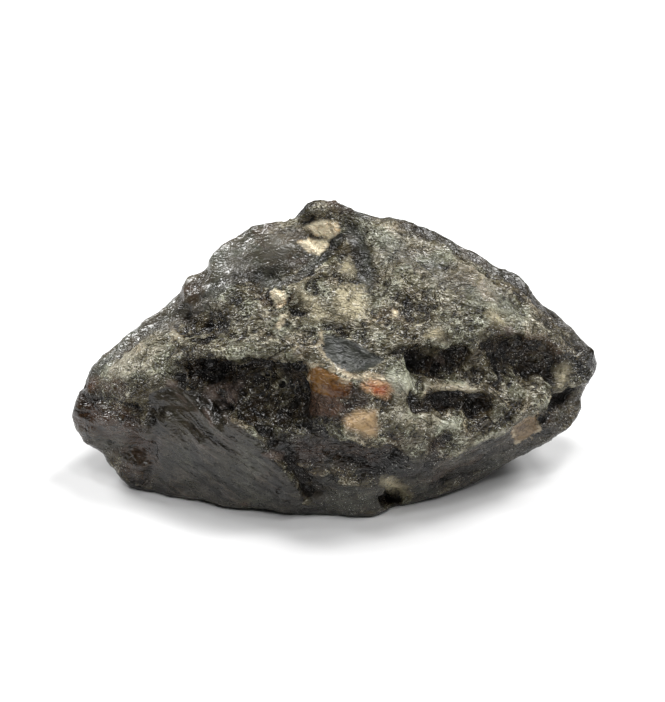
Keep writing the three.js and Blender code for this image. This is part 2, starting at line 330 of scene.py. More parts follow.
# %% Scoops and grain
# How far and how finely the net of scoops is bent out of shape.
NET_BEND, BEND_FINENESS = 0.35, 1.3
# Spreads the scoops' centres over many cells of noise, so that each scoop gets a tilt of its own.
TILT_SPREAD = 9.7
HALF = Vector((0.5, 0.5, 0.5))
CREST_STEEPNESS = 3


def scoops(points, size, tilt, shift):
    """Heights of scoops of one size: low at their floors, highest on the ridges between them."""
    heights = np.empty(len(points))
    for i, point in enumerate(points):
        place = Vector(point) / size + Vector((shift, 0, 0))
        place += NET_BEND * noise.noise_vector(BEND_FINENESS * place)
        gaps, centres = noise.voronoi(place)
        heights[i] = min(
            gap * gap + tilt * (noise.cell_vector(TILT_SPREAD * centre) - HALF).dot(place - centre)
            for gap, centre in zip(gaps, centres)
        )
    return heights - heights.mean()


def grain(points, size, roughness, octaves):
    """Uneven grain, about -1 to 1, each octave twice as fine as the one before."""
    return np.array([noise.fractal(Vector(p) / size, roughness, 2.0, octaves) for p in points])


def crests(points, size, octaves):
    """Thin crests that run in curls, as on dried skin: 1 on the crest, 0 beside it."""
    return np.clip(1 - CREST_STEEPNESS * abs(grain(points, size, 0.8, octaves)), 0, 1)


large_scoops = scoops(points, size=3.4, tilt=1.2, shift=0)
middle_scoops = scoops(points, size=1.5, tilt=1.2, shift=5)
small_scoops = scoops(points, size=0.7, tilt=1.0, shift=11)
fine_grain = grain(points, size=0.5, roughness=0.7, octaves=4)
curl_bend = 0.5 * grain(points, size=1.3, roughness=0.6, octaves=2)[:, None]
curl_crests = crests(points + curl_bend, size=1.1, octaves=3)
print("scoop heights:", [round(float(s.std()), 3) for s in (large_scoops, middle_scoops, small_scoops)])
print("curls:", round(float(curl_crests.mean()), 3), round(float(curl_crests.std()), 3))

# %% [markdown]
# ## Streaks
# Where the stone is worn, fine wrinkles flow over it like the grain of wood. Noise that is read in
# a squeezed place runs out into such streaks. One curve guides them on the front below the ledge
# and another on the brows, so that they bend with the form.

# %% Streaks
# How high a streak runs over each x, in millimetres: on the front below the ledge, and on the brows.
LOW_STREAK = ((-25, 9.5), (-17, 9.5), (-3, 0.5), (1, 0), (25, 8.5))
HIGH_STREAK = ((-25, 9), (-8, 23), (0, 25.5), (8, 22.5), (25, 10))
SQUEEZE = 0.22

x, y, z = points.T
# 0 on the front below the ledge, 1 on the brows and behind.
on_top = rising(z + 1.5 * y, 8, 12)
low_course, high_course = (z - np.interp(x, *zip(*line)) for line in (LOW_STREAK, HIGH_STREAK))
across_streaks = on_top * high_course + (1 - on_top) * low_course
streak_places = np.stack([SQUEEZE * x, SQUEEZE * y, across_streaks], axis=1)
streak_bend = 0.2 * grain(points, size=2.0, roughness=0.6, octaves=2)[:, None]
streak_crests = crests(streak_places + streak_bend, size=1.3, octaves=3)
print("share of the skin with streaks of the brows:", round(float(on_top.mean()), 3))

# %% [markdown]
# ## Worn faces and brows
# Whatever stands out has been polished by wind and sand, and so has the flat broken face at the
# lower left. Each worn place is named, so that it can be moved by itself. The back gets patches of
# noise, and overhangs near the foot count as worn too.

# %% Courses that several tables use
KNOB_CREASE = [(0.5, 3, 22.5), (-1.6, 0.2, 21.3), (-3.4, -1.2, 20.5), (-6.5, -0.6, 19.5)]
LEDGE_RIM = [(-14.3, -6.5, 14.2), (-13.2, -6.3, 15.6), (-11.1, -6.8, 16.1), (-9.7, -7.7, 15.5),
             (-7.7, -7.3, 15.9), (-5.4, -7.9, 15.8), (-3.2, -7.7, 16), (-2.1, -6.7, 16.6)]
FACE_EDGE = [(-7, -11, 9.3), (-4.5, -11.4, 5.8), (-2.8, -10.7, 2.3)]
FOOT_PIT = [(4.6, -9.6, 2), (5.6, -8.8, 0.8)]
WHITE_STREAK = [(-4.4, -3.8, 18.2), (-5.1, -5.3, 17.7)]
CREAM_VEIN = [(-0.6, -8, 15.5), (0.8, -8.8, 14.8), (1.8, -9.3, 14.4), (3.3, -8.6, 14.6), (4.6, -9, 14)]
print("the ledge is", round(LEDGE_RIM[-1][0] - LEDGE_RIM[0][0], 1), "mm long")

# %% Worn places
# name: corners or path, width of the border or stroke in millimetres, and how worn, 0 to 1
worn_faces = {
    "lower left face": (
        [(-17, -6, 11), (-14.6, -6.2, 12.1), (-12.1, -7.4, 11.4), (-9.7, -9.4, 10.7), *FACE_EDGE,
         (-4, -9.5, -0.5), (-17, -5.5, -0.5)], 0.5, 0.93),
    "slate clast": (
        [(-1, -6.2, 17), (0.8, -5.8, 16.7), (4.6, -7.2, 15.3), (3.6, -8, 14.9), (0.8, -8.7, 14.9),
         (-0.8, -7.6, 15.8)], 0.3, 0.7),
    "amber clast": (
        [(-2.6, -8.2, 13.8), (-1.5, -8.2, 15.2), (0.1, -8.9, 14.8), (0.9, -9.5, 14.1), (0.6, -10, 12.8),
         (-2.4, -8.3, 12.9)], 0.3, 0.8),
    "tan clast": (
        [(0.8, -11.1, 11.5), (2, -11, 12.3), (3.7, -11, 12.2), (3.8, -12, 10.1), (1.1, -11.7, 11)], 0.3, 0.7),
}
worn_lines = {
    "band beside the knob": ([(1.6, 3.2, 22.9), (2.6, 1.8, 21.2), (3, -0.8, 19.6)], 1.6, 0.7),
    "crease under the knob": (KNOB_CREASE, 1.0, 0.7),
    "left brow": ([(-24, 0, 10), (-19, 1, 14.5), (-14, 2.6, 19), (-8, 4.2, 23.5)], 4.6, 0.95),
    "left slope": ([(-16, 0, 16.5), (-10, 0.8, 20.4), (-4, 1.4, 22)], 4.0, 0.85),
    "knob": ([(-3, 4.5, 25), (1, 5, 25.5), (3, 5, 24.5)], 2.2, 0.7),
    "right slope": ([(5.5, 2.5, 21.4), (10, 1, 20), (15.5, 0, 17.4)], 5.0, 0.42),
    "left lobe": ([(-24, -3, 7), (-22, -4.6, 6), (-18.5, -6, 6), (-18, -6, 3)], 4.2, 0.95),
    "front foot": ([(-1, -10, 2.5), (4, -9.8, 2)], 2.8, 0.75),
    "right foot": ([(4, -9.8, 3), (9, -8.5, 3.5), (14, -6.5, 4.5), (19, -4.5, 5.5), (23, -1, 7)], 2.6, 0.7),
    "middle foot": ([(-4, -11, 8.2), (0, -11, 7.6), (4, -11, 6.8), (10, -9, 5.5)], 2.8, 0.65),
    "lip": ([(21, -4, 7), (24, -1.5, 8.5)], 2.0, 0.5),
    "right brow": ([(2, 6, 24.5), (8, 7, 22), (15, 5, 19), (21, 3, 14.5), (24.5, 1, 11)], 2.8, 0.85),
}
BACK_WEAR, OVERHANG_WEAR = 0.85, 0.75

worn = np.zeros(len(points))
for corners, border, amount in worn_faces.values():
    worn = np.maximum(worn, amount * np.clip(0.5 - block_distance(points, corners) / border, 0, 1))
for path, width, amount in worn_lines.values():
    worn = np.maximum(worn, amount * fade(path_distance(points, path), width))


def back_patches(shift, size, threshold):
    """Patches for the back, 0 to 1; each shift gives a pattern of its own."""
    return np.clip(4 * grain(points + shift, size, 0.8, 3) - threshold, 0, 1)


behind = rising(y, 3, 6)
worn = np.maximum(worn, BACK_WEAR * behind * back_patches(shift=40, size=9, threshold=0.4))
overhang = rising(read_normals(stone.data)[:, 2], 0.1, -0.4) * rising(z, 10, 7)
worn = np.maximum(worn, OVERHANG_WEAR * overhang)
print("worn share of the skin:", round(float(worn.mean()), 3))

# %% [markdown]
# ## Ridges, cracks and hollows
# The lines and dents that one would know this stone by are drawn one by one. A height above 0
# raises a ridge, one below 0 cuts a crease. The points are bent by noise before their distance to
# a stroke is taken, so that no stroke comes out ruler-straight. Gas bubbles left a few round pits.

# %% Named ridges and cracks
# name: path, half the width and height, in millimetres
ridges_and_cracks = {
    "knob ridge": (
        [(0.6, 3.2, 23.1), (-0.4, 3, 22.5), (-1.1, 1.6, 21.6), (-2.2, 0.1, 21.2), (-2.9, -0.3, 20.9)],
        0.4, 0.2),
    "crease under the knob": (KNOB_CREASE[:3], 0.8, -0.2),
    "lip under the crease": ([(-3.1, -1.6, 20.3), (-2.5, -1, 20.5), (-1.6, -1.1, 20.5)], 0.35, 0.14),
    "beside the cream": ([(-2.2, -1.6, 20.1), (-2, -2.3, 19.7)], 0.8, -0.3),
    "knob brow": ([(-2.8, 3.2, 24.9), (-1.6, 3, 25.3), (0, 3.4, 24.9)], 0.7, 0.12),
    "under the brow": ([(-2.8, 3.1, 24.6), (-1.6, 2.9, 24.9)], 0.5, -0.2),
    "crystal a": ([(-1.1, 3, 24.1), (-0.8, 2.8, 23.3), (-0.5, 2.8, 22.8)], 0.5, 0.4),
    "crystal b": ([(-0.3, 3.2, 23.9), (0, 3.2, 23.2)], 0.42, 0.35),
    "crystal c": ([(-2.1, 2.8, 23.8), (-1.5, 2.7, 23.1)], 0.4, 0.22),
    "gap under the crystals": ([(-2.3, 2.2, 23.1), (-1.4, 2.6, 22.7), (-0.5, 2.8, 22.5)], 0.22, -0.12),
    "fibre a": ([(-2.9, 1.5, 22.7), (-2.3, 1.4, 22.3)], 0.28, 0.2),
    "fibre b": ([(-2.2, 1.8, 22.6), (-1.9, 1.2, 21.9)], 0.25, 0.2),
    "fibre c": ([(-1.6, 2.2, 22.4), (-1.5, 1.4, 21.8)], 0.25, 0.22),
    "fibre d": ([(-1, 2.5, 22.3), (-1, 1.9, 21.8)], 0.25, 0.2),
    "band edge": ([(3.8, 4.2, 22.9), (3.9, 1.6, 20.9), (4.1, -1.4, 19.4)], 0.6, 0.14),
    "ledge rim": (LEDGE_RIM, 0.5, 0.12),
    "under the ledge": (
        [(-13.8, -6.9, 13.6), (-9.7, -7.2, 14.1), (-5.9, -6.8, 14.1), (-2.8, -8, 15)], 1.1, -0.5),
    "face edge": (
        [(-14.6, -5.9, 12.3), (-12.1, -6.9, 11.5), (-9.7, -9.2, 10.6), (-7, -11.1, 9.3), *FACE_EDGE[1:]],
        0.55, 0.06),
    "beside the face": (
        [(-9, -9, 11.4), (-6.2, -10.8, 9.6), (-3.8, -11.2, 6), (-2.2, -10.5, 2.6)], 0.8, -0.25),
    "face ridge high": ([(-16.9, -5.9, 10), (-13.4, -6.5, 10.5), (-11.1, -7.4, 9.4)], 0.6, 0.2),
    "face ridge": ([(-12, -8.6, 7.8), (-8.7, -10.4, 7.1), (-6.4, -10.7, 4.8), (-4.7, -10.8, 2.4)], 0.7, 0.2),
    "face ridge short": ([(-9.9, -9.9, 10.1), (-7.7, -10.8, 9), (-6.1, -11.3, 7.4)], 0.5, 0.16),
    "right edge": (
        [(24.4, 0, 10.4), (22.2, -2.2, 9.1), (19.9, -4.6, 9.2), (17.5, -6.5, 8.9), (14.5, -8, 7.7),
         (11, -9.6, 6.7), (8.6, -9.9, 5.1)], 0.5, 0.22),
    "under the right edge": (
        [(23.5, -1.2, 9), (21.2, -3, 8.2), (18.7, -5.2, 7.8), (15.4, -6.6, 6.2), (12.1, -7.8, 5.1),
         (9.3, -8.6, 3.4)], 0.8, -0.3),
    "low ledge a": ([(9.1, -8, 2.1), (12.8, -6.1, 2.2), (16, -5.3, 4.1)], 0.5, -0.2),
    "low ledge b": ([(5.5, -10.8, 4.6), (8.4, -8.9, 2.6), (11, -6.7, 1.9)], 0.45, -0.2),
    "low ledge c": ([(11.3, -7.2, 3.3), (13.7, -6, 3.5), (15.3, -5.7, 4.4)], 0.45, -0.18),
    "middle crack a": (
        [(-3.2, -10.1, 9.9), (0.9, -11.8, 10.2), (5.4, -11.1, 8.1), (8.7, -10, 5.6)], 0.5, -0.2),
    "middle crack b": ([(-4.1, -11.1, 8.5), (0.5, -10.6, 7.3), (4.1, -10.9, 6)], 0.6, -0.25),
    "middle crack c": ([(-1.8, -10.8, 4.6), (2.7, -11.2, 5.8), (7.4, -9.2, 3.8)], 0.6, -0.22),
    "middle ridge": ([(0.9, -11.7, 9.9), (4.5, -11.6, 8.7), (8.2, -10.4, 6.3)], 0.5, 0.16),
    "lobe wrinkle a": ([(-23.5, -2.8, 8.1), (-20.5, -4.7, 9.6), (-18.1, -5.7, 9.2)], 0.4, -0.16),
    "lobe wrinkle b": ([(-23.9, -3.3, 7.2), (-20.8, -5.3, 8.5), (-18.3, -6.5, 8.3)], 0.4, -0.14),
    "lobe wrinkle c": ([(-23.3, -4.1, 6.3), (-19.8, -6.4, 7.5)], 0.4, -0.13),
    "lobe wrinkle d": ([(-22.2, -4.6, 5), (-19.3, -5.1, 4.6)], 0.4, -0.1),
    "valley": ([(-16.9, -5.9, 10), (-16.5, -7.4, 7.9), (-17.1, -6.9, 4.3), (-18.3, -6, 0.7)], 0.8, -0.3),
    "rim of hollow a": (
        [(5.7, -6.4, 16.3), (8.2, -5.5, 16.6), (10.3, -5.2, 15.6), (13.2, -3.6, 14.8)], 0.6, 0.18),
    "rim of hollow b": (
        [(14.3, -3.4, 15.4), (16.7, -2.4, 15.5), (19.2, -1.3, 14.3), (20.9, -0.3, 12.1),
         (20.5, -1.9, 10.6)], 0.6, 0.2),
    "pale ridge": ([(6.8, -8.9, 13.7), (9.5, -8.4, 12.8), (12.2, -6.1, 12), (13.9, -6.3, 11.3)], 0.9, 0.1),
    "foot pit": (FOOT_PIT, 0.9, -0.5),
    "tip crease": ([(21.3, -0.1, 12.2), (23, -0.1, 12), (24.4, 0.3, 11.8)], 0.5, -0.2),
    "hollow floor": ([(-9.5, -7.9, 13), (-6.7, -8.1, 11.6), (-4.5, -9.4, 10.2)], 0.8, 0.2),
    "cheek crease a": ([(-17.2, -2.5, 14.1), (-15.3, -2.6, 14.9), (-13.2, -6.1, 15.7)], 0.5, -0.16),
    "cheek crease b": (
        [(-14.5, 0, 17.5), (-12.6, -0.3, 18.1), (-9.2, -2.4, 18.8), (-6.7, -2.1, 18.9)], 0.5, -0.16),
    "cheek crease c": ([(-15.4, -1, 15.4), (-14, -0.3, 16.4), (-12.1, -1, 17.6)], 0.5, 0.16),
    "cheek crease d": ([(-9.2, -0.3, 20.1), (-7.4, -0.4, 19.8), (-5.8, 0, 20.2)], 0.4, -0.14),
    "right slope a": ([(6.1, 3.8, 22.7), (9, 4.7, 21.4)], 0.5, -0.14),
    "right slope b": ([(9.8, 2.4, 20.3), (12.7, 2.3, 19.5), (15.6, 2.5, 18.1), (18.4, 2.1, 16.4)], 0.5, 0.15),
    "right slope c": ([(4.7, 2.3, 21.6), (7.9, 1.7, 20.7), (9.8, 0.5, 19.2)], 0.5, -0.14),
    "right slope d": ([(11.6, -1.1, 18.1), (14.4, -1.4, 17.8), (17.2, -1.2, 16.3)], 0.5, 0.14),
    "slate edge": (
        [(-2.2, -6.3, 16.9), (-1.2, -5.9, 17.3), (-0.1, -5.7, 17.2), (1.1, -6, 16.5), (3, -6.8, 15.4)],
        0.35, 0.2),
    "cream vein": ([(-1.1, -5.9, 17.3), (-1.4, -7.1, 16.2), *CREAM_VEIN], 0.35, 0.12),
    "under the tan": ([(0.6, -11.8, 10.6), (2.4, -12.3, 10), (4.2, -12, 9.7), (5.5, -11.4, 8.8)], 0.4, 0.25),
    "under the amber": ([(-2.6, -9.6, 10.6), (0, -11, 11.2), (0.9, -11.4, 11)], 0.35, 0.15),
    "white clast": ([(-5.4, -1.7, 19.2), (-4.9, -2.3, 18.9)], 0.7, 0.35),
    "streak a": ([(-5.3, -4, 18.1), (-5.6, -5.1, 17.8)], 0.3, 0.15),
    "streak b": (WHITE_STREAK, 0.35, 0.18),
}

wavered = wavering(points, size=1.1, amount=0.28)
stroke_height = np.zeros(len(points))
for path, width, rise in ridges_and_cracks.values():
    stroke_height += rise * fade(path_distance(wavered, path), width)
print(len(ridges_and_cracks), "strokes, mm:", round(float(stroke_height.min()), 2), "to",
      round(float(stroke_height.max()), 2))

# %% Hollows
# name: path, half the width in millimetres, and depth, 0 to 1
hollows = {
    "under the ledge": ([(-13, -6.5, 13.6), (-9, -7.5, 13.6), (-4, -7.8, 14)], 2.2, 1.0),
    "hollow floor": ([(-9.5, -8.5, 12), (-5, -9.2, 11), (-3.6, -9, 12)], 2.6, 1.0),
    "beside the face": ([(-8.5, -9.8, 11.2), (-5.5, -11, 9), (-3.6, -11.2, 6), (-2, -10.5, 3)], 1.3, 0.7),
    "hollow a": ([(6.5, -5.2, 14.6), (10.8, -4.6, 13.7)], 2.1, 1.0),
    "hollow b": ([(15.5, -3.5, 13.8), (19, -2, 12.6)], 2.6, 1.0),
    "hollow b low": ([(15.6, -4.4, 12.5), (18.8, -3.2, 11.8)], 1.8, 0.8),
    "hollow b right": ([(19, -2.5, 12), (20.4, -2.3, 11.4)], 1.6, 0.8),
    "hollow c": ([(7.5, -9, 11.8), (13, -7, 10.5)], 1.7, 0.9),
    "under the right edge": ([(19.8, -4.2, 7.6), (21.5, -3, 8.6)], 1.4, 0.8),
    "middle": ([(-1, -10.8, 9.5), (2, -11.3, 8.8), (5, -11, 8)], 1.4, 0.7),
    "foot pit": (FOOT_PIT, 1.1, 1.0),
    "cheek": ([(-14, -1.5, 16), (-11.5, -4.5, 16.2)], 1.6, 0.6),
    "beside the white clast": ([(-3.6, -2.6, 19.4), (-3.4, -3.6, 18.6)], 0.9, 0.45),
    "beside the cream": ([(-2.2, -1.6, 20.1), (-1.8, -2.3, 19.8), (-1, -3, 19.3)], 0.6, 0.25),
    "under the small cream": ([(0, -1, 20.5), (1.7, -1, 20), (2.4, -0.9, 19.7)], 0.5, 0.35),
    "under the brow": ([(-2.9, 3, 24.4), (-2.2, 2.9, 24.7)], 0.5, 0.5),
}
# From this strength on a stroke shows.
NOTICED = 0.3

bent = wavering(points, size=1.8, amount=0.8)
hollow = painted(wavering(bent, size=0.8, amount=0.45), hollows)
back_hollows = back_patches(shift=80, size=7, threshold=0.5)
hollow = np.maximum(hollow, behind * (1 - worn) * back_hollows)
print("share of the skin in hollows:", round(float((hollow > NOTICED).mean()), 3))

# %% Round pits
RIM_WIDTH_MM = 0.25
RIM_SHARE = 0.4
# name: middle, radius and depth, in millimetres
round_pits = {
    "small": ((-4.8, -6.7, 12.4), 0.45, 0.35),
    "large": ((-3.8, -8.2, 11.4), 0.65, 0.45),
    "left": ((-13.6, -2.8, 15.3), 0.7, 0.3),
}

pit_height = np.zeros(len(points))
for place, radius, depth in round_pits.values():
    gap = np.linalg.norm(points - np.array(place), axis=1)
    rim = RIM_SHARE * depth * fade(abs(gap - radius), RIM_WIDTH_MM)
    pit_height += rim - depth * fade(gap, radius)
print("deepest pit, mm:", round(float(pit_height.min()), 2))

# %% Raise the relief
# Heights in millimetres on broken rock, then on worn rock.
LARGE_MM, MIDDLE_MM, SMALL_MM = 0.56, 0.38, 0.06
CURL_MM, GRAIN_MM = 0.09, 0.02
WORN_LARGE_MM, WORN_MIDDLE_MM = 0.3, 0.14
STREAK_MM, WORN_GRAIN_MM = 0.12, 0.015
HOLLOW_DEPTH_MM = 0.9
FOOT_FADE_MM = 0.8

broken = 1 - worn
relief = broken * (LARGE_MM * large_scoops + MIDDLE_MM * middle_scoops + SMALL_MM * small_scoops)
relief += broken * (CURL_MM * curl_crests + GRAIN_MM * fine_grain)
relief += worn * (WORN_LARGE_MM * large_scoops + WORN_MIDDLE_MM * middle_scoops
                  + STREAK_MM * streak_crests + WORN_GRAIN_MM * fine_grain)
relief += stroke_height + pit_height - HOLLOW_DEPTH_MM * hollow
relief *= np.clip(points[:, 2] / FOOT_FADE_MM, 0, 1)
points = points + relief[:, None] * read_normals(stone.data)
points[:, 2] = np.maximum(points[:, 2], 0)
low, high = np.array(solid_box) * MM_IN_A_METRE
points = np.clip(points, low, high)
write_points(stone.data, points)
print("relief, mm: from", round(float(relief.min()), 2), "to", round(float(relief.max()), 2))

# %% [markdown]
# ## What the skin knows about itself
# Colour and gloss follow the form: ridges are painted paler, for wear and as painted light, and
# hollows and creases darker, for dust and as painted shade. The skin is compared with smoother
# copies of itself, which shows how far each point stands out or lies back, and the result is kept
# on the mesh for the material to read.

# %% Ridges and hollows
FINE_ROUNDS, BROAD_ROUNDS = 4, 40
# How far a point stands out, in millimetres, to count in full.
FINE_FULL_MM, BROAD_FULL_MM = 0.06, 0.35


def keep(name, values):
    """Stores one number for each point on the mesh, under a name that the material can read."""
    layer = stone.data.attributes.new(name, "FLOAT", "POINT")
    layer.data.foreach_set("value", values.astype(np.float32))


normals = read_normals(stone.data)
proud_fine = ((points - spread(points, FINE_ROUNDS)) * normals).sum(1)
proud_broad = ((points - spread(points, BROAD_ROUNDS)) * normals).sum(1)
keep("ridge_fine", np.clip(proud_fine / FINE_FULL_MM, -1, 1))
keep("ridge_broad", np.clip(proud_broad / BROAD_FULL_MM, -1, 1))
keep("worn", worn)
keep("across_streaks", across_streaks)
print("fine standing out, mm:", round(float(proud_fine.std()), 3))
print("broad standing out, mm:", round(float(proud_broad.std()), 3))

# %% [markdown]
# ## Dark and pale rock
# The matrix isn't one colour: it is nearly black in the hollows and under the ledge, where the dark
# is painted shade as well as dark rock, grey-tan on the open slopes and frosted along worn rims, with
# rusty and slate-grey parts. These strokes are wide and soft, and the material breaks their borders
# up with noise.

# %% Tone strokes
# name: path, half the width in millimetres, and strength, 0 to 1
dark_rock_and_shade = {
    # Under the ledge the dark stroke is painted shade as well as dark rock.
    "under the ledge": ([(-12.5, -6.8, 13.4), (-8, -8, 12.6), (-4.5, -8.8, 12)], 3.0, 0.95),
    "lower middle": ([(-4, -11, 8.5), (0, -11, 8), (4, -11, 6.5)], 3.4, 1.0),
    "face": ([(-15, -7, 5), (-8, -10, 5)], 5.0, 0.25),
    "lower right": ([(4, -11, 7), (8, -9.5, 5)], 2.0, 0.6),
    "below the amber": ([(-2, -9.5, 11), (1, -10.8, 11.6)], 1.5, 0.8),
    "above the right edge": ([(9, -9.8, 7.8), (13, -8, 8.8)], 1.4, 0.6),
    "valley": ([(-16.5, -7.2, 8.5), (-17, -6.9, 5)], 1.1, 0.6),
    "cheek dents": ([(-14.5, -0.6, 16.4), (-12.2, -2.6, 17), (-9, -4, 17)], 1.7, 0.6),
    "left rim": ([(-23.5, -2.2, 9.4), (-17.3, -5.7, 11)], 0.9, 0.5),
    "lobe": ([(-24, -3, 6.5), (-20, -6, 8), (-18, -6, 6)], 2.6, 0.8),
    "tip": ([(21.5, -1.5, 11.5), (24.5, 0.5, 11)], 3.0, 1.0),
}
pale_rock = {
    "left slope": ([(-22, 0.5, 11), (-18, 1, 15), (-12, 1.8, 20), (-5, 2, 22.4)], 4.6, 0.6),
    "right slope": ([(5, 2.5, 21.4), (10, 1, 20), (15, 0, 17.6)], 5.0, 0.6),
    "above the ledge": ([(-8, -5.5, 17), (-2.5, -5.5, 17.4)], 2.2, 0.5),
    "round the cream": ([(-3, -2.5, 19.8), (3, -2.5, 19)], 2.8, 0.3),
    "pale zone": ([(5.8, -10.5, 11.2), (10.5, -9.5, 10)], 1.7, 0.85),
    "pale ridge": ([(5.8, -8.9, 14), (9.5, -8.2, 13), (12.6, -6.2, 12)], 1.6, 1.0),
    "floor of hollow b": ([(15, -5.5, 11.2), (19, -4, 10.8)], 1.0, 0.2),
    "right edge": ([(22.2, -2.2, 9.3), (19.9, -4.6, 9.4), (14.5, -8, 7.9), (11, -9.6, 6.9)], 0.5, 0.9),
    "cheek": ([(-20, -3, 12.4), (-16.5, -2.6, 14), (-12, -2, 17.4)], 2.8, 0.65),
    "left shoulder": ([(-22.3, -1.8, 11.2), (-19.9, -3, 12.6)], 1.5, 0.15),
    "left lobe top": ([(-18.6, -4.2, 11.6), (-18.2, -5.2, 10)], 1.0, 0.15),
    "right of the slate": ([(4.4, -5, 16.8), (4.8, -8.8, 14.4), (5.4, -9.6, 13)], 1.4, 0.5),
    "lobe streaks": ([(-21, -5.6, 7.6), (-19.5, -6.6, 6)], 1.0, 0.2),
}
rusty_rock = {
    "lobe": ([(-24, -3, 6.5), (-20, -6, 8), (-18, -6, 6), (-19, -5.5, 3)], 3.0, 0.6),
    "lower middle": ([(-3, -11, 8), (3, -11, 7.4)], 2.0, 0.4),
    "knob": ([(-0.5, 4.5, 26), (3, 5.5, 25)], 1.6, 0.7),
    "crest bump": ([(-9, 4, 24), (-6, 3, 23)], 2.0, 0.5),
    "purple patch": ([(-4, 0.7, 21.9), (-3, 0.7, 21.7)], 0.9, 0.6),
    "left slope": ([(-14.5, 1.5, 18), (-13.5, 0.5, 18)], 1.4, 0.6),
    "left brow": ([(-23.2, -2.4, 9.8), (-20.4, -4.4, 10.7), (-18.4, -5.2, 10.8)], 1.0, 1.0),
    "rim of hollow b": ([(15.5, -2.8, 15.4), (19.4, -1.5, 14.2), (20.6, -1.7, 12.8)], 0.9, 0.9),
    "hollow a": ([(8, -5.5, 14.6), (11, -4.8, 14)], 1.2, 0.5),
    "below the amber": ([(-2, -9.5, 11.5), (0.6, -10.6, 11.8)], 1.3, 0.6),
    "beside the white clast": ([(-6.4, -2.2, 18.6), (-4, -2.6, 19)], 0.9, 0.7),
    "under the pale zone": ([(5, -11, 9), (9, -10, 8)], 1.6, 0.4),
    "right of the cream": ([(4, -3.5, 18.4), (6.5, -4, 17.6)], 1.2, 0.5),
    "foot": ([(-14, -6, 1), (-8, -9, 1)], 1.0, 0.5),
    "low ledge": ([(9, -8, 3.4), (13, -6.5, 4.4)], 1.2, 0.5),
}
slate_rock = {
    "band beside the knob": ([(2.2, 3.5, 22.7), (2.9, 1.8, 21), (3.2, -0.8, 19.5)], 1.1, 0.9),
    "crease under the knob": (KNOB_CREASE, 0.8, 0.8),
    "below the slate clast": ([(3, -8, 14.9), (4.5, -7, 15.4), (5.4, -9.6, 13.2)], 1.2, 0.4),
    "left of the slate clast": ([(-5, -5.5, 17.2), (-3, -5.6, 17.2)], 1.3, 0.5),
    "slope": ([(8, 2.6, 21), (9.5, 1.6, 20.2)], 1.2, 0.4),
}
# Hollows are darkened in colour as well as cut in: dark rock and painted shade.
HOLLOW_DARKNESS = 0.65

broad_wavered = wavering(points, size=1.8, amount=0.6)
pale = painted(broad_wavered, pale_rock)
dark = np.maximum(painted(broad_wavered, dark_rock_and_shade), HOLLOW_DARKNESS * hollow)
keep("tone", pale - dark)
keep("hollow", hollow)
keep("rust", painted(broad_wavered, rusty_rock))
keep("slate_tint", painted(broad_wavered, slate_rock))
print("dark share of the skin:", round(float((dark > NOTICED).mean()), 3))
print("pale share of the skin:", round(float((pale > NOTICED).mean()), 3))

# %% [markdown]
# ## Clasts
# A clast is a fragment of older rock shut in the matrix, and what shows of it is where the surface
# cuts through it. Every point of the skin is told how far it lies inside or outside the nearest
# clast of each kind, and the material turns that distance into a border, crisp for glass and
# feldspar, soft where a clast has reacted with the melt round it. Thin veins are given as lines.

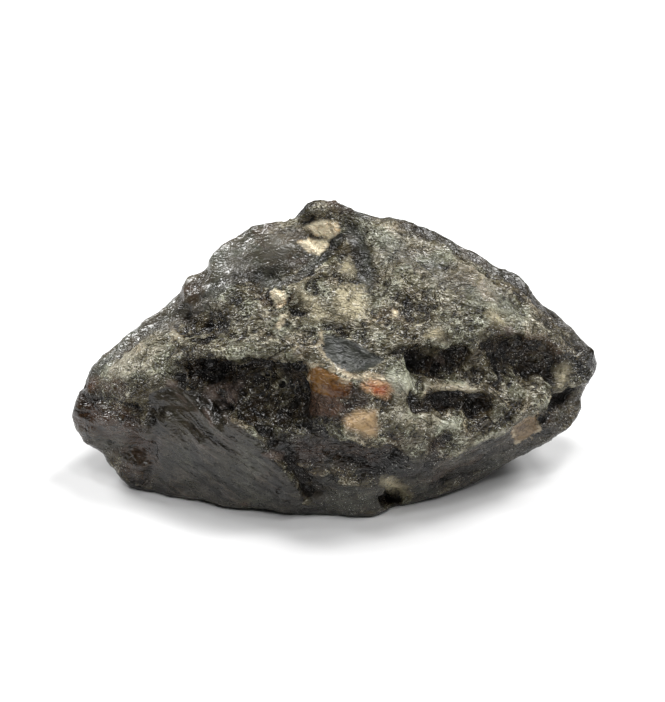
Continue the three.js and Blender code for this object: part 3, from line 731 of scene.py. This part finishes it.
# %% Clast shapes
clasts = {
    "slate": [
        [(-1, -6.2, 17), (-0.3, -5.8, 17.2), (0.8, -5.8, 16.7), (2.8, -6.4, 16), (4.6, -7.2, 15.3),
         (3.6, -8, 14.9), (2, -8.5, 14.7), (0.8, -8.7, 14.9), (-0.8, -7.6, 15.8)],
    ],
    "cream": [
        [(-3.4, -2.3, 20), (-2.1, -2.8, 19.4), (-1.2, -3.7, 18.9), (-0.3, -4.2, 18.1), (-0.5, -4.6, 17.8),
         (-1.4, -4.7, 18), (-2.4, -3.5, 18.5), (-3.2, -2.9, 19.1)],
        [(0.1, -1.8, 20), (1.4, -1.5, 20), (2.6, -0.9, 19.6), (3.1, -2.3, 18.8), (3, -3.3, 18.2),
         (2.2, -4.3, 17.7), (0, -4.4, 17.8), (0.1, -2.7, 19.4)],
        [(0.6, 0.7, 21), (1.2, 1.3, 21.1), (1.7, 0.6, 20.6), (1.2, -0.5, 20.4), (0.5, -0.5, 20.6)],
        [(14.2, -2.1, 17.3), (14.8, -1.9, 17.3), (15.6, -2, 16.6), (15.7, -2.3, 16.1), (14.4, -2.5, 16.8)],
        [(8.4, -5, 16.8), (9.1, -4.3, 17), (9.6, -4.6, 16.8), (9.7, -5.3, 16.4), (8.4, -5.5, 16.6)],
        [(21.2, -1.8, 11.3), (21.8, -1.5, 11.3), (22.1, -1.7, 10.8), (21.8, -2.5, 10.4), (21.1, -3.2, 10.1)],
        [(4.4, -11.2, 4.7), (5, -11, 5), (6.1, -8.7, 2.7), (7, -8.4, 1.3), (6.5, -8.3, 1), (4.9, -10.7, 3.7)],
    ],
    "smoky": [
        [(-2.5, -8.2, 12.8), (-0.8, -9.4, 13.3), (0.4, -10, 12.8), (0.9, -10.3, 12.4), (0.3, -10.9, 11.6),
         (-2.5, -9.4, 10.8)],
    ],
    "black": [
        [(1, -9.8, 13.6), (1.5, -9.6, 14), (2.6, -9.8, 13.7), (3.3, -10.1, 13.1), (3.1, -10.9, 12.6),
         (1.9, -10.9, 12.3)],
    ],
    "amber": [
        [(-2.6, -8.2, 13.8), (-2.4, -8.1, 14.9), (-1.5, -8.2, 15.2), (0.1, -8.9, 14.8), (1.7, -9.4, 14.2),
         (1.2, -9.9, 13.2), (-0.3, -9.8, 12.9), (-2.4, -8.3, 12.9)],
    ],
    "amber_deep": [
        [(-0.9, -9.2, 13.7), (1.5, -9.6, 14), (1.2, -10, 13), (-0.5, -9.8, 12.8)],
    ],
    "orange": [
        [(2.3, -9.5, 14.1), (3.3, -8.9, 14.6), (4.8, -9.1, 14.1), (5.2, -9.4, 13.3), (4.7, -9.8, 12.6),
         (2.8, -10, 13.5)],
    ],
    "orange_red": [
        [(3.2, -9.4, 14), (4.7, -9.2, 13.8), (4.5, -9.5, 13), (3.4, -9.7, 13.3)],
    ],
    "tan": [
        [(0.8, -11.1, 11.5), (2, -11, 12.3), (3.7, -11, 12.2), (3.8, -12, 10.1), (2.9, -12.3, 10.3),
         (1.1, -11.7, 11)],
    ],
    "buff": [
        [(16.4, -6.8, 7.8), (17.9, -6.2, 8.8), (18.8, -5.8, 8.9), (19.4, -4.6, 6.1), (18.4, -4.7, 5.3),
         (17.1, -4.9, 5), (16.5, -6.1, 6.6)],
    ],
    "pink": [
        [(-6.6, -11.2, 7.8), (-5.7, -11.3, 7.9), (-4.6, -11.2, 7.4), (-4.6, -11.4, 7), (-6.1, -11.3, 7.4)],
        [(-9.9, -8, 13.2), (-8.7, -7.5, 12.7), (-8.6, -8.7, 12), (-9.6, -9, 11.9)],
        [(9.6, -5, 14.2), (10.3, -4.6, 13.8), (10.4, -4.6, 13.1), (9.8, -4.9, 13.3)],
        [(15.6, -2.4, 16), (16.4, -2, 16), (16.8, -2.4, 15.5), (16.1, -2.7, 15.4)],
        [(-15.6, -5.7, 12.4), (-14.4, -5.8, 12.2), (-14.6, -6.2, 11.7), (-15.4, -6, 11.8)],
        [(-12, -8.1, 10.6), (-11.5, -8.3, 10.5), (-10.9, -9.1, 9.4), (-11.3, -9, 9.3)],
        [(-11.8, -6.4, 11.9), (-11.2, -6.2, 12.1), (-10.3, -8.4, 13.1), (-10.6, -7.2, 11.1),
         (-11.4, -7.3, 11.1)],
    ],
    "white": [
        [(-5.9, -1.5, 19.2), (-5.5, -1.4, 19.3), (-4.6, -2, 19.5), (-4.3, -2.4, 19.1), (-5, -3, 18.4),
         (-5.7, -2.5, 18.6)],
        [(-2.7, 3, 23.8), (-1.3, 2.9, 24.5), (0.2, 3.3, 23.9), (0.4, 3.2, 23.1), (-0.5, 2.7, 22.4),
         (-1.7, 2.7, 22.9)],
        [(-3.3, 1.4, 22.9), (-2.2, 1.9, 23.1), (-0.8, 2.7, 22.5), (-0.5, 2.6, 22.1), (-1.5, 1.1, 21.5),
         (-2.6, 1.1, 22.1)],
        [(5.3, -3.3, 18.4), (5.8, -3.2, 18.3), (5.8, -3.9, 18), (5.4, -3.9, 18)],
    ],
}
print("clasts drawn:", sum(len(outlines) for outlines in clasts.values()))

# %% Veins and painted highlight lines
buff_border = clasts["buff"][0][:6]
# name: path and half the width, in millimetres
veins = {
    "above the amber": ([(-1.1, -5.9, 17.3), (-1.4, -7.1, 16.2), (-1, -7.6, 15.8)], 0.1),
    "rim": ([(-1.2, -7.3, 16), *CREAM_VEIN], 0.17),
    "on the amber": ([(-2, -8.1, 15.1), (-1.4, -8, 15.4), (0.1, -8.7, 15), (1.1, -9.3, 14.4)], 0.16),
    "rim on the left": ([(-2.5, -8.3, 13.6), (-2.3, -8.2, 14.4), (-2.1, -8.1, 15), (-1.4, -7.9, 15.6)], 0.14),
    "streak": (WHITE_STREAK, 0.2),
    "round the buff clast": (buff_border + buff_border[:1], 0.05),
}
# The finest pale lines are painted highlights along sharp edges and round the rims of two of the
# pits, all equally wide.
HIGHLIGHT_LINE_MM = 0.05
HIGHLIGHT_LINE_PITS = ("small", "large")
highlight_lines = [
    [(24, -0.6, 9.8), (22.2, -2.2, 9.2), (19.9, -4.6, 9.3), (17.5, -6.5, 8.9), (14.5, -8, 7.8),
     (11, -9.6, 6.8)],
    [(1, 3, 22.9), (-1.6, 0.4, 21.5), (-3.4, -1, 20.7), (-6.5, -0.6, 19.7), (-11, -0.4, 18.8)],
    LEDGE_RIM[1:-1],
    [(5.6, -9, 14.2), (7, -8.9, 13.8), (9.5, -8.4, 12.9), (12.2, -6.2, 12.2)],
    [(4.8, -11.6, 9.6), (8.5, -10.6, 8.6), (13, -8.8, 8.2)],
]
print(len(veins), "veins,", len(highlight_lines) + len(HIGHLIGHT_LINE_PITS), "highlight_lines")

# %% Clasts on the back
# Any clasts may lie there, so the usual kinds are scattered, always in the same way.
BACK_CLASTS = {
    # kind: how many, and about how large from the middle to a corner, in millimetres
    "cream": (5, 1.5), "slate": (4, 1.6), "tan": (2, 0.9), "amber": (1, 0.9), "orange": (2, 0.5),
    "white": (5, 0.4), "pink": (5, 0.7),
}
# Two opposite corners, in millimetres, of the box that the middles are drawn in.
BACK_LOW, BACK_HIGH = (-15, 9, 4), (18, 13, 17)
SCATTER_SEED = 11
CORNERS = 7
UNEVEN_TURN = 0.3
SHORTEST, LONGEST = 0.6, 1.3
FLATTENING = 1.4

chance = np.random.default_rng(SCATTER_SEED)
for kind, (count, size) in BACK_CLASTS.items():
    for target in chance.uniform(BACK_LOW, BACK_HIGH, (count, 3)):
        nearest_point = np.linalg.norm(points - target, axis=1).argmin()
        across = np.cross(normals[nearest_point], (0, 0, 1))
        across /= np.linalg.norm(across)
        up = np.cross(across, normals[nearest_point])
        turns = np.linspace(0, 2 * np.pi, CORNERS, endpoint=False)
        turns = turns + chance.uniform(-UNEVEN_TURN, UNEVEN_TURN, CORNERS)
        reaches = size * chance.uniform(SHORTEST, LONGEST, CORNERS)
        sideways = np.outer(FLATTENING * reaches * np.cos(turns), across)
        upwards = np.outer(reaches * np.sin(turns), up)
        clasts[kind].append(points[nearest_point] + sideways + upwards)
print("clasts on the back:", sum(count for count, size in BACK_CLASTS.values()))

# %% How far every point lies from the clasts
FAR_MM = 3.0


def nearest_of(gaps):
    """The smallest of several distances at every point, but FAR_MM at most."""
    nearest = np.full(len(points), FAR_MM)
    for gap in gaps:
        nearest = np.minimum(nearest, gap)
    return nearest


for kind, outlines in clasts.items():
    clast_gap = nearest_of(block_distance(points, corners) for corners in outlines)
    keep(kind + "_gap", clast_gap)
    print(kind, "covers", round(float((clast_gap < 0).mean() * 100), 2), "% of the skin")
keep("vein_gap", nearest_of(path_distance(wavered, path) - width for path, width in veins.values()))
highlight_line_gaps = [path_distance(wavered, path) for path in highlight_lines]
for name in HIGHLIGHT_LINE_PITS:
    place, radius, depth = round_pits[name]
    highlight_line_gaps.append(abs(np.linalg.norm(points - np.array(place), axis=1) - radius))
keep("highlight_line_gap", nearest_of(gap - HIGHLIGHT_LINE_MM for gap in highlight_line_gaps))

# %% [markdown]
# ## The stone's material
# One material covers matrix and clasts, because they are one polished surface: what changes over
# it is colour, gloss and grain. The rock is built up in layers, as a painter would: dark ground,
# paler mottling where it stands out, partly painted light, tints, bright grains with painted glints,
# clasts, and last dirt and painted shade in the pores.

# %% Node helpers
breccia = bpy.data.materials.new("breccia")
breccia.use_nodes = True
tree = breccia.node_tree
shader = tree.nodes["Principled BSDF"]


def fill(socket, value):
    """Gives an input another node's output, or a plain value."""
    if isinstance(value, bpy.types.NodeSocket):
        tree.links.new(value, socket)
    else:
        socket.default_value = value


def maths(operation, *values):
    """One sum, product or other step of arithmetic."""
    node = tree.nodes.new("ShaderNodeMath")
    node.operation = operation
    for socket, value in zip(node.inputs, values):
        fill(socket, value)
    return node.outputs[0]


def add(*values):
    total = values[0]
    for value in values[1:]:
        total = maths("ADD", total, value)
    return total


def times(a, b):
    return maths("MULTIPLY", a, b)


def about(value, amount):
    """A noise value, moved so that it swings evenly above and below 0."""
    return maths("MULTIPLY_ADD", value, amount, -0.5 * amount)


def between(value, low, high):
    """0 at low, 1 at high, smooth between; works the other way round too."""
    node = tree.nodes.new("ShaderNodeMapRange")
    node.interpolation_type = "SMOOTHSTEP"
    fill(node.inputs["Value"], value)
    flipped = low > high
    node.inputs["From Min"].default_value = min(low, high)
    node.inputs["From Max"].default_value = max(low, high)
    node.inputs["To Min"].default_value = float(flipped)
    node.inputs["To Max"].default_value = float(not flipped)
    return node.outputs["Result"]


def over(share, under, top):
    """Lays one colour over another. Inputs 6 and 7 and output 2 are the ones for colours."""
    node = tree.nodes.new("ShaderNodeMix")
    node.data_type = "RGBA"
    fill(node.inputs[0], share)
    fill(node.inputs[6], under)
    fill(node.inputs[7], top)
    return node.outputs[2]


def tinted(share, under, tint):
    """Shows a colour through a thin layer of tint, as through stained glass."""
    result = over(share, under, tint)
    result.node.blend_type = "MULTIPLY"
    return result


def clouds(scale, detail, roughness, warp=0.0, where=None):
    """Cloudy noise, 0 to 1; its scale is in cycles per millimetre."""
    node = tree.nodes.new("ShaderNodeTexNoise")
    fill(node.inputs["Vector"], where or place_mm)
    node.inputs["Scale"].default_value = scale
    node.inputs["Detail"].default_value = detail
    node.inputs["Roughness"].default_value = roughness
    node.inputs["Distortion"].default_value = warp
    return node.outputs["Fac"]


def kept(name):
    """What the mesh keeps under a name."""
    node = tree.nodes.new("ShaderNodeAttribute")
    node.attribute_name = name
    return node.outputs["Fac"]


def seen(red, green, blue):
    """A colour as the eye gives it, 0 to 255, turned to the linear values that nodes use."""
    shares = [c / 255 for c in (red, green, blue)]
    return (*(c / 12.92 if c <= 0.04045 else ((c + 0.055) / 1.055) ** 2.4 for c in shares), 1)


texture_place = tree.nodes.new("ShaderNodeTexCoord")
in_mm = tree.nodes.new("ShaderNodeVectorMath")
in_mm.operation = "SCALE"
fill(in_mm.inputs[0], texture_place.outputs["Object"])
in_mm.inputs["Scale"].default_value = MM_IN_A_METRE
place_mm = in_mm.outputs[0]
print("nodes so far:", len(tree.nodes))

# %% [markdown]
# ## The noises of the rock
# Breccia is uneven at every scale, so the material starts from noises that reach from patches of
# several millimetres down to single grains. Where a noise passes its middle it draws a thin, curled
# line. Such lines give the pale curls, which are polish and painted highlights on crests, the dark
# cracks and the streaks of the worn skin.

# %% Noises at the scale of patches, mottling, grains and dust
patches = clouds(scale=0.3, detail=3, roughness=0.55)
mottle = clouds(scale=1.0, detail=4, roughness=0.55, warp=0.4)
grains = clouds(scale=3.6, detail=3, roughness=0.7)
dust = clouds(scale=7.0, detail=1, roughness=0.6)
tone, rust, slate_tint = kept("tone"), kept("rust"), kept("slate_tint")
ridge_fine, ridge_broad = kept("ridge_fine"), kept("ridge_broad")
worn_share, hollow_share = kept("worn"), kept("hollow")
print("nodes so far:", len(tree.nodes))

# %% Curls and cracks
LINE_CORE = 0.15

split_place = tree.nodes.new("ShaderNodeSeparateXYZ")
fill(split_place.inputs[0], place_mm)
x_mm, y_mm, z_mm = split_place.outputs


def squeezed(name, x_share, y_share, height):
    """The place on the stone, squeezed so that a noise read there runs out into long streaks."""
    node = tree.nodes.new("ShaderNodeCombineXYZ")
    node.name = name
    for socket, value in zip(node.inputs, (times(x_mm, x_share), times(y_mm, y_share), height)):
        fill(socket, value)
    return node.outputs[0]


def crest_lines(noise_value, width):
    """1 on the thin curled lines where a noise passes its middle, falling to 0 at the width."""
    return between(maths("ABSOLUTE", about(noise_value, 2.0)), width, LINE_CORE * width)


curl_place = squeezed("curl place", x_share=0.5, y_share=1.0, height=z_mm)
long_curls = clouds(scale=1.6, detail=0, roughness=0.5, warp=1.2, where=curl_place)
short_curls = clouds(scale=2.8, detail=0, roughness=0.5, warp=1.2, where=curl_place)
curls = maths("MAXIMUM", crest_lines(long_curls, 0.08), times(crest_lines(short_curls, 0.12), 0.9))
cracks = crest_lines(clouds(scale=0.33, detail=2, roughness=0.55, warp=0.8), 0.035)
curl_clouds = clouds(scale=0.9, detail=4, roughness=0.6)
curly_places = between(add(curl_clouds, about(patches, 0.3)), 0.42, 0.56)
print("nodes so far:", len(tree.nodes))

# %% Streaks of the worn skin
streak_place = squeezed("streak place", x_share=0.2, y_share=0.2, height=kept("across_streaks"))
streaks = clouds(scale=0.7, detail=6, roughness=0.6, warp=0.8, where=streak_place)
line_clouds = clouds(scale=0.9, detail=4, roughness=0.6, warp=1.0, where=streak_place)
streak_lines = crest_lines(line_clouds, 0.08)
streak_waves = clouds(scale=1.3, detail=1, roughness=0.5, warp=0.8, where=streak_place)
print("nodes so far:", len(tree.nodes))

# %% [markdown]
# ## From dark to pale
# One number says how pale the matrix is at a point. It adds up the noises, the tone strokes and
# how far the point stands out or lies back, which paints light on ridges and shade in creases, and a
# ramp of six shades turns it into a colour. Worn skin, rust, the dust of the hollows, slate and bright
# grains with painted glints are then laid over it.

# %% Dark ground and mottling
MATRIX_SHADES = {
    # place on the ramp: shade
    0.0: (10, 8, 5),
    0.2: (29, 23, 13),
    0.4: (53, 46, 29),
    0.6: (78, 71, 51),
    0.8: (110, 104, 84),
    1.0: (176, 170, 150),
}

out_of_hollows = maths("MULTIPLY_ADD", hollow_share, -0.5, 1.0)
# The pale curls are polish and painted highlights along the crests, fainter in the hollows.
curl_polish_and_highlight = times(maths("MULTIPLY_ADD", curly_places, 0.4, 0.12), out_of_hollows)
# Ridge terms: what stands out is painted paler and what lies back darker, as wear and dust and as painted
# light and shade; the minimum term is painted shade in broad creases.
paleness = add(
    0.5, about(patches, 0.9), about(mottle, 0.42), about(grains, 0.2), times(cracks, -0.22),
    times(tone, 0.5), times(ridge_fine, 0.12), times(ridge_broad, 0.12),
    times(maths("MINIMUM", ridge_broad, 0.0), 0.4), times(curls, curl_polish_and_highlight),
)
ramp = tree.nodes.new("ShaderNodeValToRGB")
fill(ramp.inputs["Fac"], paleness)
stops = ramp.color_ramp.elements
for position, shade in MATRIX_SHADES.items():
    if 0 < position < 1:
        stops.new(position)
for stop, shade in zip(stops, MATRIX_SHADES.values()):
    stop.color = seen(*shade)
matrix = ramp.outputs["Color"]
print("matrix shades:", len(ramp.color_ramp.elements))

# %% Worn rock
WORN_DARK, WORN_LIGHT = seen(14, 11, 8), seen(58, 54, 46)
PALE_WORN_DARK, PALE_WORN_LIGHT = seen(72, 70, 64), seen(132, 129, 118)
STREAK_LINE = seen(100, 88, 82)

worn_noise = add(streaks, times(tone, 0.2), about(patches, 0.7), about(mottle, 0.3))
worn_rock = over(between(worn_noise, 0.3, 0.65), WORN_DARK, WORN_LIGHT)
pale_worn = over(between(streaks, 0.35, 0.62), PALE_WORN_DARK, PALE_WORN_LIGHT)
worn_rock = over(times(maths("MAXIMUM", tone, 0.0), 0.6), worn_rock, pale_worn)
line_share = times(streak_lines, times(between(streaks, 0.45, 0.7), 0.6))
worn_rock = over(line_share, worn_rock, STREAK_LINE)
worn_border = between(add(worn_share, about(mottle, 0.4)), 0.25, 0.55)
rock = over(times(worn_border, 0.9), matrix, worn_rock)
print("nodes so far:", len(tree.nodes))

# %% Rust, dust and slate
RUST, HOLLOW_DUST, PORE_DIRT_AND_SHADE = seen(84, 57, 38), seen(56, 43, 28), seen(14, 11, 9)
SLATE_DARK, SLATE_LIGHT = seen(23, 27, 22), seen(78, 82, 71)
COOL, WARM, VIOLET = (0.8, 0.94, 0.92, 1), (0.82, 0.7, 0.58, 1), (0.9, 0.83, 0.85, 1)

rock = over(times(rust, times(between(mottle, 0.3, 0.55), 0.75)), rock, RUST)
rock = over(times(hollow_share, times(between(mottle, 0.4, 0.58), 0.6)), rock, HOLLOW_DUST)
# Fine creases and pores are darkened: dirt and painted shade.
rock = over(times(between(ridge_fine, -0.25, -0.9), 0.5), rock, PORE_DIRT_AND_SHADE)
# The three colour channels of one noise serve as three noises, one for each tint.
tint_noise = tree.nodes.new("ShaderNodeSeparateColor")
tint_clouds = clouds(scale=0.33, detail=3, roughness=0.5)
fill(tint_noise.inputs[0], tint_clouds.node.outputs["Color"])
cool_places, warm_places, violet_places = tint_noise.outputs
rock = tinted(times(between(cool_places, 0.46, 0.6), 0.6), rock, COOL)
rock = tinted(times(between(warm_places, 0.5, 0.62), 0.6), rock, WARM)
rock = tinted(times(between(violet_places, 0.52, 0.62), 0.3), rock, VIOLET)
slate_noise = between(add(mottle, about(grains, 0.8)), 0.35, 0.65)
rock = over(times(slate_tint, 0.5), rock, over(slate_noise, SLATE_DARK, SLATE_LIGHT))
print("nodes so far:", len(tree.nodes))

# %% Bright grains and painted glints
GRAIN_AND_GLINT_WHITE = seen(234, 232, 222)

off_worn = maths("MULTIPLY_ADD", worn_share, -0.9, 0.9)
off_hollows = maths("MULTIPLY_ADD", hollow_share, -0.4, 1.0)
# White specks: bright grains, and painted glints that stand in for sparkle on tiny crystals.
grain_and_glint_share = times(between(dust, 0.66, 0.7), between(add(curly_places, about(mottle, 2.0)), 0.3, 0.8))
rock = over(times(grain_and_glint_share, times(off_worn, off_hollows)), rock, GRAIN_AND_GLINT_WHITE)
print("nodes so far:", len(tree.nodes))

# %% [markdown]
# ## Colours of the clasts
# Each kind of clast has a deep and a light colour with mottling between them. Its border is moved
# in and out by noise, raggedly where the clast has crumbled, and it is crisp or soft. The kinds are
# laid on in turn, so that the deep parts of the amber and the painted highlight lines come out on top.

# %% Clasts over the rock
CLAST_FINISH = {
    # kind: deep colour, light colour, raggedness mm, softness mm, strength
    "cream": ((92, 86, 66), (206, 194, 160), 1.3, 0.6, 0.88),
    "slate": ((19, 21, 17), (52, 54, 46), 0.5, 0.2, 0.9),
    "smoky": ((40, 27, 20), (88, 64, 48), 0.4, 0.2, 0.9),
    "black": ((10, 8, 7), (64, 52, 42), 0.5, 0.3, 0.9),
    "amber": ((76, 48, 18), (122, 86, 42), 0.15, 0.1, 0.97),
    "amber_deep": ((44, 20, 6), (86, 48, 18), 0.6, 0.5, 0.85),
    "orange": ((128, 92, 60), (196, 154, 112), 0.6, 0.3, 0.92),
    "orange_red": ((112, 44, 18), (176, 88, 46), 0.5, 0.3, 0.85),
    "tan": ((112, 86, 58), (184, 155, 114), 0.6, 0.4, 0.9),
    "buff": ((84, 66, 46), (138, 116, 86), 0.3, 0.15, 0.95),
    "pink": ((70, 56, 48), (132, 114, 104), 0.5, 0.25, 0.55),
    "white": ((212, 180, 136), (254, 242, 210), 0.35, 0.2, 0.97),
    "vein": ((120, 104, 80), (232, 216, 184), 1.3, 0.25, 0.9),
    # Painted highlights along sharp edges and pit rims.
    "highlight_line": ((70, 66, 58), (206, 200, 184), 0.35, 0.08, 0.7),
}

clast_noise = between(add(about(mottle, 1), about(grains, 1)), -0.35, 0.15)
for kind, (deep, light, ragged, soft, strength) in CLAST_FINISH.items():
    edge = add(kept(kind + "_gap"), about(mottle, 1.6 * ragged), about(grains, 0.8 * ragged))
    shade = over(clast_noise, seen(*deep), seen(*light))
    rock = over(times(between(edge, soft, -soft), strength), rock, shade)
print("kinds of clasts and lines:", len(CLAST_FINISH))

# %% Dirt and painted shade in the pores
# The deepest pores go darker still: dirt and painted shade.
rock = over(times(between(ridge_fine, -0.4, -1.1), 0.5), rock, PORE_DIRT_AND_SHADE)
fill(shader.inputs["Base Color"], rock)
print("nodes so far:", len(tree.nodes))

# %% [markdown]
# ## Gloss and fine wrinkles
# The stone shines as if it were wet. Its broad sheen comes from the mesh, and the single glints
# from a low bump of curled wrinkles, which fades on the worn faces and gives way to streaks there.
# Cracks cut in a little. Slate is the dullest part.

# %% Gloss and grain
GLOSS, SPECULAR = 0.19, 0.55
WRINKLE_HEIGHT = 0.00035

slate_share = between(kept("slate_gap"), 0.2, -0.2)
dullness = add(GLOSS, about(mottle, 0.2), times(worn_share, 0.04), times(slate_share, 0.2))
fill(shader.inputs["Roughness"], dullness)
shader.inputs["Specular IOR Level"].default_value = SPECULAR

wrinkles = add(times(crest_lines(long_curls, 0.5), 0.4), times(crest_lines(short_curls, 0.5), 0.25))
wrinkle_height = add(
    times(wrinkles, maths("MULTIPLY_ADD", worn_share, -0.9, 1.0)),
    times(cracks, maths("MULTIPLY_ADD", worn_share, 0.4, -0.4)),
    times(streak_waves, times(worn_share, 0.4)),
)
bump = tree.nodes.new("ShaderNodeBump")
bump.inputs["Strength"].default_value = 1.0
bump.inputs["Distance"].default_value = WRINKLE_HEIGHT
fill(bump.inputs["Height"], wrinkle_height)
fill(shader.inputs["Normal"], bump.outputs["Normal"])
print("material nodes:", len(tree.nodes))

# %% [markdown]
# ## Put the stone in its place
# The fine stone stands for the solid: it rides on the same body and hides the solid, so that the
# model can be simulated with the one and shown with the other.

# %% Finish
stone.data.materials.append(breccia)
for face in stone.data.polygons:
    face.use_smooth = True
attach(stone, "root")
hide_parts("meteorite")
